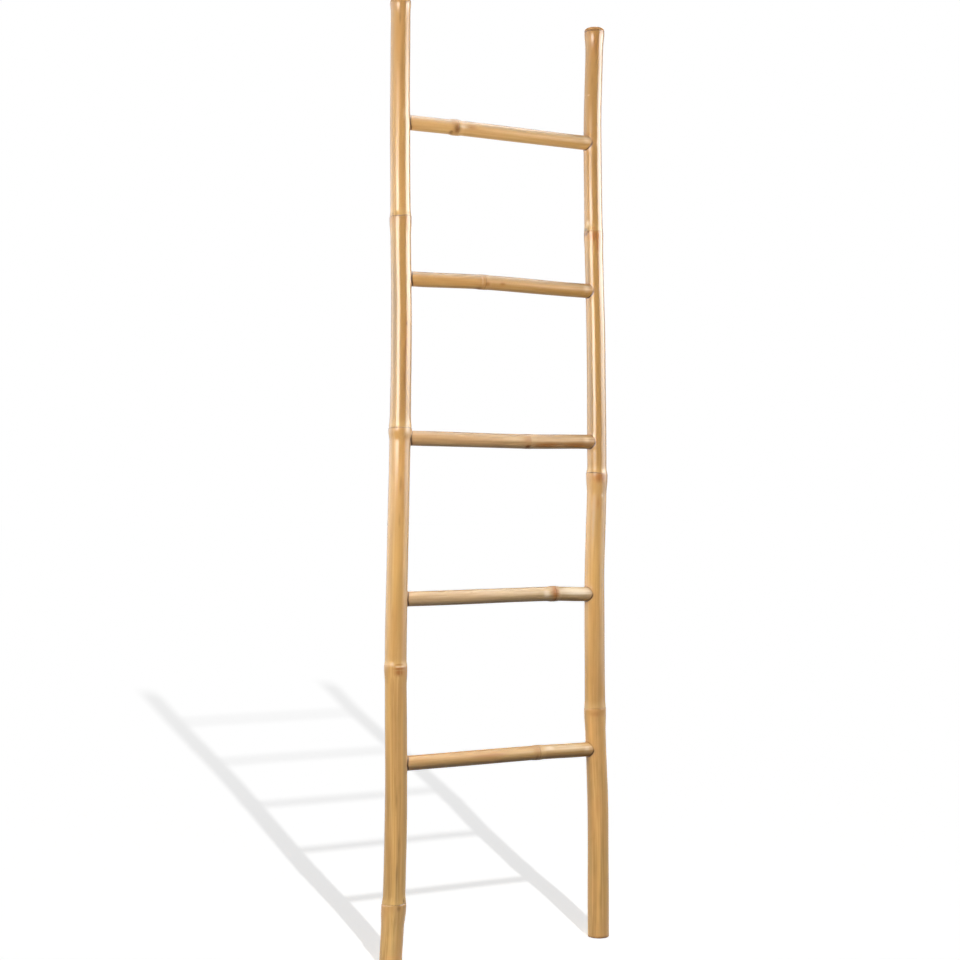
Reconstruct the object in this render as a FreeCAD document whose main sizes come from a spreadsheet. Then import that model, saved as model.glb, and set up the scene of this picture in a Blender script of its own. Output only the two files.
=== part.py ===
import FreeCAD, Part
import math
import os
import Sketcher

# A towel ladder of bamboo. Two long culms are its rails. Five short culms are its rungs, each seated in a
# socket bored into the inner side of either rail and locked there by a pin driven in from the rear.
# Frame: +Z up along the rails, +X to the right as seen from the front, +Y to the rear. The origin is the
# floor point midway between the feet. Lengths are in millimetres.

SIZES = {
    # The whole ladder: its length, and the distance between the rails' axes before the culms' bends
    "ladder_length": 1500,
    "rail_spacing": 370,
    # Rails: thickness and wall
    "left_foot_diameter": 35.5,
    "left_top_diameter": 30.5,
    "right_foot_diameter": 35.5,
    "right_top_diameter": 29,
    "rail_wall": 6,
    "rail_edge_round": 2.5,
    "diaphragm_thickness": 5,
    # Rails: how far the swelling at a node reaches above it, and how thick it is
    "rail_node_reach": 14,
    "rail_node_swell": 1.8,
    # Rails: the topmost node's swelling, and how far that node lies below the end
    "top_node_reach": 8,
    "top_node_swell": 2.2,
    "top_node_drop": 7,
    # Left rail: how far its axis bends outwards at the foot, at each node and at the top
    "left_foot_bend": 10.6,
    "left_node_1_bend": 5,
    "left_node_2_bend": 2.2,
    "left_node_3_bend": -5.4,
    "left_node_4_bend": -5.7,
    "left_top_bend": -5.8,
    # Left rail: how far each internode bows outwards, counted from the foot
    "left_bow_1": 0.3,
    "left_bow_2": -2.2,
    "left_bow_3": 0.3,
    "left_bow_4": -1.8,
    "left_bow_5": 0.8,
    # Right rail, the same
    "right_foot_bend": 3.4,
    "right_node_1_bend": -3,
    "right_node_2_bend": 1.4,
    "right_node_3_bend": -5,
    "right_top_bend": -2.8,
    "right_bow_1": 2.8,
    "right_bow_2": -3,
    "right_bow_3": 1.6,
    "right_bow_4": -2.8,
    # Rungs: thickness, wall and node ring
    "rung_diameter": 23.5,
    "rung_wall": 5,
    "rung_node_reach": 12,
    "rung_node_swell": 1,
    # Rungs, from the lowest: place of the node to the right of the middle, and upward bend there
    "rung_1_node_place": 70,
    "rung_1_rise": 1,
    "rung_2_node_place": 100,
    "rung_2_rise": 2,
    "rung_3_node_place": 51.5,
    "rung_3_rise": -1.5,
    "rung_4_node_place": -32,
    "rung_4_rise": 2.5,
    "rung_5_node_place": -82,
    "rung_5_rise": 0.5,
    # Sockets: how far a rung's end passes the rail's axis, the room round it and behind it, and how far
    # outside the rail the rung stays straight
    "seat_past_axis": 5,
    "socket_clearance": 0.3,
    "seat_gap": 0.3,
    "mouth_margin": 3,
    # Locking pins: how far one stands out of the rail, and how far its tip passes the rung's wall
    "pin_diameter": 2.5,
    "pin_proud": 0.3,
    "pin_past_wall": 0.5,
    "pin_chamfer": 0.3,
    "pin_clearance": 0.05,
    # How far every cut runs past the surface that it starts from
    "cut_overrun": 3,
}

SHEET_NAME = "Sizes"
RAILS = ("left", "right")

# Heights of each rail's nodes and of the rungs, from the foot up, as shares of the ladder's length.
NODE_HEIGHT_SHARES = {"left": (0.063, 0.308, 0.553, 0.773), "right": (0.251, 0.509, 0.774)}
RUNG_HEIGHT_SHARES = (0.206, 0.376, 0.543, 0.709, 0.872)
RUNGS = range(1, len(RUNG_HEIGHT_SHARES) + 1)

# Outlines of a node, each point a place as a share of its reach and a swelling as a share of its swell.
# A rail's node, from below to above, has a long swelling below its scar and a short one above.
RAIL_NODE_SHARES = ((-2.6, 0.0), (-1.7, 0.5), (-0.9, 0.95), (-0.1, 1.0), (0.0, 0.6), (0.35, 0.4), (1.0, 0.0))
RUNG_NODE_SHARES = ((-1.0, 0.0), (-0.4, 0.9), (-0.08, 1.0), (0.0, 0.65), (0.08, 1.0), (0.4, 0.9), (1.0, 0.0))
TOP_END_SWELL_SHARE = 0.8

# A rounded edge, from the end face to the side: shares of its radius along the culm and in from the side.
EDGE_STEPS = 3
EDGE_ANGLES = [math.radians(90 * step / EDGE_STEPS) for step in range(EDGE_STEPS + 1)]
EDGE_ROUND_SHARES = [(round(1 - math.cos(angle), 4), round(1 - math.sin(angle), 4)) for angle in EDGE_ANGLES]

# Turns that lay a length along +Z down to the ladder's right or to its front.
TURN_TO_RIGHT = FreeCAD.Rotation(FreeCAD.Vector(0, 1, 0), 90)
TURN_TO_FRONT = FreeCAD.Rotation(FreeCAD.Vector(1, 0, 0), 90)


# Expressions

def cell(name):
    return f"{SHEET_NAME}.{name}"


def side_sign(rail):
    """Outwards along X, as a sign."""
    return -1 if rail == "left" else 1


def length_share(share):
    return f"({share} * {cell('ladder_length')})"


def rung_height(rung):
    return length_share(RUNG_HEIGHT_SHARES[rung - 1])


def along_run(low, high, height):
    """The axis at a height on the straight run between two points, each a height and a place across."""
    return f"({low[1]} + ({high[1]} - {low[1]}) * ({height} - {low[0]}) / ({high[0]} - {low[0]}))"


def across_at(points, height):
    """The axis at a height, on whichever run between the points holds it."""
    runs = list(zip(points[:-1], points[1:]))
    text = along_run(*runs[-1], height)
    for low, high in reversed(runs[:-1]):
        text = f"({height} < {high[0]} ? {along_run(low, high, height)} : {text})"
    return text


# Sheet, sketches and features

def make_sheet(doc):
    sheet = doc.addObject("Spreadsheet::Sheet", SHEET_NAME)
    for row, (name, value) in enumerate(SIZES.items(), start=1):
        sheet.set(f"A{row}", name)
        sheet.set(f"B{row}", str(value))
        sheet.setAlias(f"B{row}", name)
    doc.recompute()


def attach(feature, body, role):
    plane = next(item for item in body.Origin.OriginFeatures if item.Role == role)
    feature.AttachmentSupport = (plane, "")
    feature.MapMode = "FlatFace"


def make_ring(body, name, section):
    """A circle square to the culm, from a section's height, place across and radius."""
    height, offset, radius = section
    sketch = body.newObject("Sketcher::SketchObject", name)
    attach(sketch, body, "XY_Plane")
    sketch.addGeometry(Part.Circle(FreeCAD.Vector(0, 0, 0), FreeCAD.Vector(0, 0, 1), 1))
    sketch.addConstraint(Sketcher.Constraint("Coincident", 0, 3, -1, 1))
    sketch.addConstraint(Sketcher.Constraint("Radius", 0, 1))
    sketch.setExpression("Constraints[1]", radius)
    sketch.setExpression("AttachmentOffset.Base.x", offset)
    sketch.setExpression("AttachmentOffset.Base.z", height)
    return sketch


def make_loft(body, kind, name, sections):
    rings = [make_ring(body, f"{name}_ring_{count}", one) for count, one in enumerate(sections, start=1)]
    loft = body.newObject(kind, name)
    loft.Profile = rings[0]
    loft.Sections = rings[1:]
    loft.Ruled = True


def make_bore(body, name, role, start, radius, depth):
    """A round cut along a plane's normal, from a start given in the plane's own x, y and normal."""
    bore = body.newObject("PartDesign::SubtractiveCylinder", name)
    attach(bore, body, role)
    for axis, text in zip("xyz", start):
        bore.setExpression(f"AttachmentOffset.Base.{axis}", text)
    bore.setExpression("Radius", radius)
    bore.setExpression("Height", depth)


def make_drill(doc, name, turn, start, radius, depth):
    """A round cutter from a start, its length turned from +Z."""
    drill = doc.addObject("Part::Cylinder", name)
    drill.Placement = FreeCAD.Placement(FreeCAD.Vector(0, 0, 0), turn)
    for axis, text in zip("xyz", start):
        drill.setExpression(f"Placement.Base.{axis}", text)
    drill.setExpression("Radius", radius)
    drill.setExpression("Height", depth)
    return drill


def make_cut(doc, name, base, drills):
    """One cut by several drills that don't touch each other."""
    tools = doc.addObject("Part::Compound", f"{name}_drills")
    tools.Links = drills
    cut = doc.addObject("Part::Cut", name)
    cut.Base = base
    cut.Tool = tools
    return cut


# Rails

def rail_radius(rail, height):
    foot, top = cell(f"{rail}_foot_diameter"), cell(f"{rail}_top_diameter")
    return f"(({foot} + ({top} - {foot}) * ({height}) / {cell('ladder_length')}) / 2)"


def rail_across(rail, place):
    """How far the culm's axis stands from the ladder's middle at its foot, top or one of its nodes."""
    return f"({cell('rail_spacing')} / 2 + {cell(f'{rail}_{place}_bend')})"


def rail_stops(rail):
    """The culm's foot, its nodes and its topmost node, each as a height and a distance from the middle."""
    stops = [("0", rail_across(rail, "foot"))]
    for count, share in enumerate(NODE_HEIGHT_SHARES[rail], start=1):
        stops.append((length_share(share), rail_across(rail, f"node_{count}")))
    stops.append((f"({cell('ladder_length')} - {cell('top_node_drop')})", rail_across(rail, "top")))
    return stops


def rail_middles(rail):
    """The middle of each internode, bowed outwards from the straight line between its two stops."""
    stops = rail_stops(rail)
    middles = []
    for count, (low, high) in enumerate(zip(stops[:-1], stops[1:]), start=1):
        bow = cell(f"{rail}_bow_{count}")
        middles.append((f"(({low[0]} + {high[0]}) / 2)", f"(({low[1]} + {high[1]}) / 2 + {bow})"))
    return middles


def rail_axis(rail):
    stops, middles = rail_stops(rail), rail_middles(rail)
    points = [stops[0]]
    for middle, stop in zip(middles, stops[1:]):
        points += [middle, stop]
    return points


def rail_offset(rail, across):
    """A distance from the ladder's middle as a place in the rail's own frame, which starts at its foot."""
    return f"{side_sign(rail)} * ({across} - {rail_across(rail, 'foot')})"


def rail_node_sections(rail, stop, kind, outline):
    """The sections of a node, whose reach and swelling are named after its kind."""
    sections = []
    for place_share, swell_share in outline:
        height = f"({stop[0]} + {place_share} * {cell(f'{kind}_node_reach')})"
        radius = f"{rail_radius(rail, height)} + {swell_share} * {cell(f'{kind}_node_swell')}"
        sections.append((height, rail_offset(rail, stop[1]), radius))
    return sections


def rail_end_sections(rail, stop, height, direction, swell_share):
    """The rounded edge of an end face, where direction leads from the face into the culm."""
    sections = []
    for along_share, in_share in EDGE_ROUND_SHARES:
        place = f"({height} + {direction * along_share} * {cell('rail_edge_round')})"
        side = f"{rail_radius(rail, place)} + {swell_share} * {cell('top_node_swell')}"
        radius = f"{side} - {in_share} * {cell('rail_edge_round')}"
        sections.append((place, rail_offset(rail, stop[1]), radius))
    return sections


def rail_outline(rail):
    foot, *nodes, top = rail_stops(rail)
    middles = [
        (height, rail_offset(rail, across), rail_radius(rail, height))
        for height, across in rail_middles(rail)
    ]
    sections = rail_end_sections(rail, foot, foot[0], 1, 0)
    for middle, node in zip(middles, nodes):
        sections += [middle] + rail_node_sections(rail, node, "rail", RAIL_NODE_SHARES)
    below_top = [shares for shares in RAIL_NODE_SHARES if shares[0] < 0]
    sections += [middles[-1]] + rail_node_sections(rail, top, "top", below_top)
    sections += reversed(rail_end_sections(rail, top, cell("ladder_length"), -1, TOP_END_SWELL_SHARE))
    return sections


def rail_hollows(rail):
    """The space inside each internode. The lowest one is open at the foot."""
    stops, middles = rail_stops(rail), rail_middles(rail)
    half_wall = f"{cell('diaphragm_thickness')} / 2"
    hollows = []
    for count, (low, middle, high) in enumerate(zip(stops[:-1], middles, stops[1:])):
        floor = f"({low[0]} + {half_wall})" if count else f"(0 - {cell('cut_overrun')})"
        ends = ((floor, low[1]), middle, (f"({high[0]} - {half_wall})", high[1]))
        hollows.append([
            (height, rail_offset(rail, across), f"{rail_radius(rail, height)} - {cell('rail_wall')}")
            for height, across in ends
        ])
    return hollows


def make_rail(doc, rail):
    """A culm, bored for the rungs' ends and then drilled for the pins."""
    culm = doc.addObject("PartDesign::Body", f"{rail}_culm")
    make_loft(culm, "PartDesign::AdditiveLoft", f"{rail}_outside", rail_outline(rail))
    for count, sections in enumerate(rail_hollows(rail), start=1):
        make_loft(culm, "PartDesign::SubtractiveLoft", f"{rail}_hollow_{count}", sections)
    sockets = [make_socket(doc, rail, rung) for rung in RUNGS]
    pin_holes = [make_rail_pin_hole(doc, rail, rung) for rung in RUNGS]
    bored = make_cut(doc, f"{rail}_bored_culm", culm, sockets)
    whole = make_cut(doc, f"{rail}_rail", bored, pin_holes)
    whole.setExpression("Placement.Base.x", f"{side_sign(rail)} * {rail_across(rail, 'foot')}")
    return whole


# Joints between rails and rungs

def joint_across(rail, rung):
    return across_at(rail_axis(rail), rung_height(rung))


def joint_rail_radius(rail, rung):
    return rail_radius(rail, rung_height(rung))


def pin_head(rail, rung):
    """How far behind the ladder's middle plane a pin's head ends."""
    return f"({joint_rail_radius(rail, rung)} + {cell('pin_proud')})"


def pin_tip():
    """How far behind the ladder's middle plane every pin ends, inside the rung's hollow."""
    return f"({cell('rung_diameter')} / 2 - {cell('rung_wall')} - {cell('pin_past_wall')})"


def pin_hole_radius():
    return f"{cell('pin_diameter')} / 2 + {cell('pin_clearance')}"


def make_socket(doc, rail, rung):
    axis = rail_offset(rail, joint_across(rail, rung))
    behind = f"({cell('seat_past_axis')} + {cell('seat_gap')})"
    before = f"({joint_rail_radius(rail, rung)} + {cell('cut_overrun')})"
    start = f"{axis} - {before if rail == 'right' else behind}"
    place = (start, "0", rung_height(rung))
    radius = f"{cell('rung_diameter')} / 2 + {cell('socket_clearance')}"
    return make_drill(doc, f"{rail}_socket_{rung}", TURN_TO_RIGHT, place, radius, f"{behind} + {before}")


def make_rail_pin_hole(doc, rail, rung):
    axis = rail_offset(rail, joint_across(rail, rung))
    mouth = f"({pin_head(rail, rung)} + {cell('cut_overrun')})"
    place = (axis, mouth, rung_height(rung))
    depth = f"{mouth} - {pin_tip()}"
    return make_drill(doc, f"{rail}_pin_hole_{rung}", TURN_TO_FRONT, place, pin_hole_radius(), depth)


# Rungs

def rung_start(rung):
    """How far left of the ladder's middle a rung begins."""
    return f"({joint_across('left', rung)} + {cell('seat_past_axis')})"


def rung_end(rung):
    return f"({rung_start(rung)} + {joint_across('right', rung)} + {cell('seat_past_axis')})"


def rung_node(rung):
    return f"({rung_start(rung)} + {cell(f'rung_{rung}_node_place')})"


def rung_straight_end(rail, rung):
    """How much of a rung's end stays straight: what is in the socket and a little outside its mouth."""
    return f"({cell('seat_past_axis')} + {joint_rail_radius(rail, rung)} + {cell('mouth_margin')})"


def rung_outline(rung):
    radius = f"{cell('rung_diameter')} / 2"
    sections = [("0", "0", radius), (rung_straight_end("left", rung), "0", radius)]
    for place_share, swell_share in RUNG_NODE_SHARES:
        place = f"{rung_node(rung)} + {place_share} * {cell('rung_node_reach')}"
        swelling = f"{radius} + {swell_share} * {cell('rung_node_swell')}"
        sections.append((place, f"-{cell(f'rung_{rung}_rise')}", swelling))
    sections.append((f"{rung_end(rung)} - {rung_straight_end('right', rung)}", "0", radius))
    sections.append((rung_end(rung), "0", radius))
    return sections


def rung_hollows(rung):
    """The space on either side of the node, open at the rung's ends."""
    radius = f"{cell('rung_diameter')} / 2 - {cell('rung_wall')}"
    half_wall = f"{cell('diaphragm_thickness')} / 2"
    bend = f"-{cell(f'rung_{rung}_rise')}"
    overrun = cell("cut_overrun")
    left = [
        (f"-{overrun}", "0", radius),
        (rung_straight_end("left", rung), "0", radius),
        (f"{rung_node(rung)} - {half_wall}", bend, radius),
    ]
    right = [
        (f"{rung_node(rung)} + {half_wall}", bend, radius),
        (f"{rung_end(rung)} - {rung_straight_end('right', rung)}", "0", radius),
        (f"{rung_end(rung)} + {overrun}", "0", radius),
    ]
    return left, right


def make_rung_pin_hole(body, rail, rung):
    inset = cell("seat_past_axis")
    place_along = inset if rail == "left" else f"{rung_end(rung)} - {inset}"
    mouth = f"({cell('rung_diameter')} / 2 + {cell('cut_overrun')})"
    depth = f"{mouth} - {pin_tip()} + {cell('cut_overrun')}"
    place = ("0", place_along, f"-{mouth}")
    make_bore(body, f"rung_{rung}_{rail}_pin_hole", "XZ_Plane", place, pin_hole_radius(), depth)


def make_rung(doc, rung):
    """A rung lies along its own Z, which its placement turns to the ladder's X."""
    body = doc.addObject("PartDesign::Body", f"rung_{rung}")
    make_loft(body, "PartDesign::AdditiveLoft", f"rung_{rung}_culm", rung_outline(rung))
    for side, sections in zip(RAILS, rung_hollows(rung)):
        make_loft(body, "PartDesign::SubtractiveLoft", f"rung_{rung}_{side}_hollow", sections)
    for rail in RAILS:
        make_rung_pin_hole(body, rail, rung)
    body.Placement = FreeCAD.Placement(FreeCAD.Vector(0, 0, 0), TURN_TO_RIGHT)
    body.setExpression("Placement.Base.x", f"-{rung_start(rung)}")
    body.setExpression("Placement.Base.z", rung_height(rung))
    return body


# Pins

def make_pin(doc, rail, rung):
    """A pin runs along its own Z from its head, which its placement turns to the ladder's front."""
    name = f"pin_{rung}_{rail}"
    body = doc.addObject("PartDesign::Body", name)
    shank = body.newObject("PartDesign::AdditiveCylinder", f"{name}_shank")
    shank.setExpression("Radius", f"{cell('pin_diameter')} / 2")
    shank.setExpression("Height", f"{pin_head(rail, rung)} - {pin_tip()}")
    doc.recompute()
    rims = [index for index, edge in enumerate(shank.Shape.Edges, start=1) if edge.isClosed()]
    chamfer = body.newObject("PartDesign::Chamfer", f"{name}_chamfer")
    chamfer.Base = (shank, [f"Edge{index}" for index in rims])
    chamfer.setExpression("Size", cell("pin_chamfer"))
    body.Placement = FreeCAD.Placement(FreeCAD.Vector(0, 0, 0), TURN_TO_FRONT)
    body.setExpression("Placement.Base.x", f"{side_sign(rail)} * {joint_across(rail, rung)}")
    body.setExpression("Placement.Base.y", pin_head(rail, rung))
    body.setExpression("Placement.Base.z", rung_height(rung))
    return body


# Checks and files

def check(doc, pieces):
    for item in doc.Objects:
        if "Invalid" in item.State or "Error" in item.State:
            raise RuntimeError(f"{item.Name} failed: {item.State}")
        if item.TypeId == "Part::Cut":
            base = item.Base.Shape.Volume
        elif "PartDesign::Subtractive" in item.TypeId:
            base = item.BaseFeature.Shape.Volume
        else:
            continue
        if item.Shape.Volume >= base:
            raise RuntimeError(f"{item.Name} cuts nothing")
    for piece in pieces:
        if piece.Shape.isNull() or not piece.Shape.isValid() or len(piece.Shape.Solids) != 1:
            raise RuntimeError(f"{piece.Label} isn't one valid solid")


def main():
    doc = FreeCAD.newDocument("towel_ladder")
    make_sheet(doc)
    pieces = [make_rail(doc, rail) for rail in RAILS]
    pieces += [make_rung(doc, rung) for rung in RUNGS]
    pieces += [make_pin(doc, rail, rung) for rung in RUNGS for rail in RAILS]
    doc.recompute()
    check(doc, pieces)
    os.makedirs("parts", exist_ok=True)
    for piece in pieces:
        piece.Shape.exportStep(f"parts/{piece.Label}.step")
        print(f"{piece.Label}: {piece.Shape.Volume:.0f} mm3")


main()
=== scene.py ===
import math

import bpy
import numpy as np
from mathutils import Euler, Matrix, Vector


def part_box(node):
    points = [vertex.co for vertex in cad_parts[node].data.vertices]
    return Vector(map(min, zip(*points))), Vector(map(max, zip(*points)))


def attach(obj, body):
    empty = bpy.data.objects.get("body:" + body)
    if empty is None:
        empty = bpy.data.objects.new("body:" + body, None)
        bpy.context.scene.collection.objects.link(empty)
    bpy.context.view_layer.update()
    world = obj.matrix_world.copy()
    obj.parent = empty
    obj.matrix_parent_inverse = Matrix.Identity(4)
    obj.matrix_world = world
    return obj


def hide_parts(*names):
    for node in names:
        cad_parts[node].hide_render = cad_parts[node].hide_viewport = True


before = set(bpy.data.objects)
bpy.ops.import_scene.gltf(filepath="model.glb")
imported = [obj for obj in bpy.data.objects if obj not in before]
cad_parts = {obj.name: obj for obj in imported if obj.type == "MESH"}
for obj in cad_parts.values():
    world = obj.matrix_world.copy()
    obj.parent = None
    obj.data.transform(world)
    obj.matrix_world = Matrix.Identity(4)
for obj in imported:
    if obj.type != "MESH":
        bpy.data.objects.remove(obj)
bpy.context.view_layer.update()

# A bamboo towel ladder. The rails and rungs are modelled here as grown culms with nodes, scars, marks and
# bare sawn ends, each in the place of its solid. Lengths are in metres, and millimetres are written with MM.

MM = 0.001
LADDER_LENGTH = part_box("left_rail")[1][2]

# Edges that turn by more than this stay sharp, and a gap this wide is far from any joint.
SHARP_EDGE = math.radians(40)
FAR_OFF = 1.0

# Rails
RAIL_SPACING = 370 * MM
RAIL_WALL = 6 * MM
DIAPHRAGM = 5 * MM
FOOT_ROUND = 2 * MM
TOP_ROUND = 6 * MM
TOP_NODE = LADDER_LENGTH - 7 * MM
RAIL_SEGMENTS = 96
RAIL_RING_GAP = 3 * MM

# Each rail has its side, its radii at foot and top, its nodes as shares of the length and its oval's turn.
# The axis bends outwards by so many millimetres at the foot, each node and the top. It bows between them.
# Each internode, from the lowest up, has its share of warm skin and its share of shade, partly its own
# darker tone and partly painted shade.
# Each node has a form: the share of the swelling, of its reach below the scar and of its reach above.
# The top's form is the share of its swelling and of its reach.
# Each scar, the top's last, has the turn where it shows most and its spread, both in degrees, and its
# least and most strength.
RAILS = {
    "left": {
        "side": -1,
        "radii": (17.75 * MM, 15.25 * MM),
        "node_shares": (0.063, 0.308, 0.553, 0.773),
        "oval_turn": 0.4,
        "bends": (10.6, 5, 2.2, -5.4, -5.7, -5.8),
        "bows": (0.3, -2.2, 0.3, -1.8, 0.8),
        "warmth": (0.9, 0.35, 0.45, 0.15, 0.9),
        "shades": (0.0, 0.06, 0.35, 0.75, 0.58),
        "node_forms": ((1.0, 1.0, 1.0), (0.65, 0.8, 0.6), (1.0, 0.5, 1.5), (0.7, 0.8, 0.7)),
        "top_form": (0.5, 0.5),
        "scars": (
            (-75, 40, 0.35, 0.8),
            (-95, 28, 0.05, 0.15),
            (-120, 90, 0.3, 0.45),
            (-115, 60, 0.3, 0.7),
            (0, 90, 0.0, 0.0),
        ),
    },
    "right": {
        "side": 1,
        "radii": (17.75 * MM, 14.5 * MM),
        "node_shares": (0.251, 0.509, 0.774),
        "oval_turn": 1.7,
        "bends": (3.4, -3, 1.4, -5, -2.8),
        "bows": (2.8, -3, 1.6, -2.8),
        "warmth": (0.6, 0.5, 0.3, 0.9),
        "shades": (0.06, 0.4, 0.72, 0.9),
        "node_forms": ((0.6, 1.0, 1.2), (1.0, 0.9, 0.6), (0.45, 0.8, 0.8)),
        "top_form": (1.0, 1.0),
        "scars": (
            (-118, 60, 0.05, 0.15),
            (-145, 42, 0.35, 1.0),
            (-172, 25, 0.05, 0.5),
            (0, 90, 0.6, 0.6),
        ),
    },
}

# A rail's node and its top: places as shares of the reach, from below the scar to above it, and
# shares of the swelling there.
RAIL_NODE_REACH = 14 * MM
RAIL_NODE_SWELL = 1.8 * MM
NODE_PLACE_SHARES = (-2.7, -2.2, -1.7, -1.3, -0.9, -0.4, -0.14, -0.05, 0.0, 0.05, 0.12, 0.35, 0.7, 1.05)
NODE_SWELL_SHARES = (0.0, 0.2, 0.5, 0.78, 0.94, 1.0, 0.98, 0.94, 0.7, 0.6, 0.62, 0.42, 0.12, 0.0)
TOP_FLARE_REACH = 45 * MM
TOP_NODE_SWELL = 2.2 * MM
TOP_PLACE_SHARES = (-1.0, -0.7, -0.45, -0.25, -0.1, 0.0, 0.1, 0.2)
TOP_SWELL_SHARES = (0.0, 0.1, 0.32, 0.7, 0.97, 1.0, 0.98, 0.95)

# Scars run askew and waver, and a culm is neither quite round nor quite even.
SCAR_ASKEW = 0.9 * MM
SCAR_WAVER = 0.25 * MM
OVAL_SHARE = 0.009
UNEVEN_ROUND = 0.12 * MM
UNEVEN_ALONG = 0.1 * MM

# Rings stand closer in spans of a reach and a spacing, at each node, each socket, the foot and the top.
NODE_SPANS = ((16 * MM, 0.8 * MM), (2 * MM, 0.4 * MM))
SOCKET_SPAN = (18 * MM, 1.2 * MM)
FOOT_SPAN = (FOOT_ROUND, 0.4 * MM)
TOP_SPAN = (12 * MM, 0.4 * MM)

# The open hollow at the foot: its rings stand evenly apart down to a height, then at the last heights,
# and flare at the very end.
HOLLOW_RING_GAP = 20 * MM
HOLLOW_LOWEST = 8 * MM
HOLLOW_LAST_HEIGHTS = (3 * MM, 1 * MM, 0.4 * MM, 0.0)
HOLLOW_FLARE = 0.5 * MM
HOLLOW_UNEVEN = 0.2 * MM

# The sawn top inside its rounded edge: rings as a share of the edge's radius and a drop below it.
TOP_RINGS = (
    (0.97, 0.0),
    (0.72, 0.0),
    (0.64, 0.6 * MM),
    (0.5, 1.3 * MM),
    (0.3, 1.7 * MM),
    (0.1, 1.8 * MM),
)

# A rail's face is bare where it lies this far inside the skin or this close to the top.
SKIN_DEPTH = 0.6 * MM
TOP_BARE = 5.5 * MM

# Rungs, from the lowest up. The places and swellings of their nodes and their rises are in millimetres.
RUNG_RADIUS = 11.75 * MM
RUNG_HEIGHTS = tuple(share * LADDER_LENGTH for share in (0.206, 0.376, 0.543, 0.709, 0.872))
RUNG_NODE_PLACES = (70, 100, 51.5, -32, -82)
RUNG_NODE_SWELLS = (0.6, 1.0, 0.3, 0.5, 1.2)
RUNG_NODE_REACH = 12 * MM
RUNG_PLACE_SHARES = (-1.0, -0.7, -0.4, -0.1, 0.0, 0.1, 0.4, 0.7, 1.0)
RUNG_SWELL_SHARES = (0.0, 0.45, 0.9, 1.0, 0.6, 1.0, 0.9, 0.45, 0.0)
RUNG_SCARS = (0.25, 0.4, 0.0, 0.3, 0.15)
RUNG_RISES = (1, 2, -1.5, 2.5, 0.5)
RUNG_STRAIGHT_END = 26 * MM
RUNG_WARMTH = 0.4
RUNG_ASKEW = 0.5 * MM
RUNG_WAVER = 0.2 * MM
RUNG_UNEVEN = 0.1 * MM
RUNG_SEGMENTS = 80
RUNG_RING_GAP = 2.5 * MM
RUNG_NODE_SPANS = ((14 * MM, 0.6 * MM), (2 * MM, 0.35 * MM))

# A rung's unevenness fades between these distances from the ladder's middle, so that its ends fit.
RUNG_EVEN_FROM = 0.14
RUNG_EVEN_TO = 0.16

# Joints: a socket goes past the rail's axis, and the skin rises in a collar round its mouth.
SEAT_PAST_AXIS = 5 * MM
SOCKET_CLEARANCE = 0.3 * MM
SOCKET_CUT = 30 * MM
SOCKET_SEGMENTS = 72
COLLAR_RISE = 0.35 * MM
COLLAR_START = 5 * MM
COLLAR_FULL = 1.5 * MM
PIN_RADIUS = 1.25 * MM
PIN_CLEARANCE = 0.1 * MM
PIN_CUT = 12 * MM
PIN_SEGMENTS = 24

# How much further the dark seam at a rung's end reaches out of each rail: painted shadow of the left rail.
SEAM_AND_SHADOW_REACHES = {"left": 2 * MM, "right": 0.0}

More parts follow.
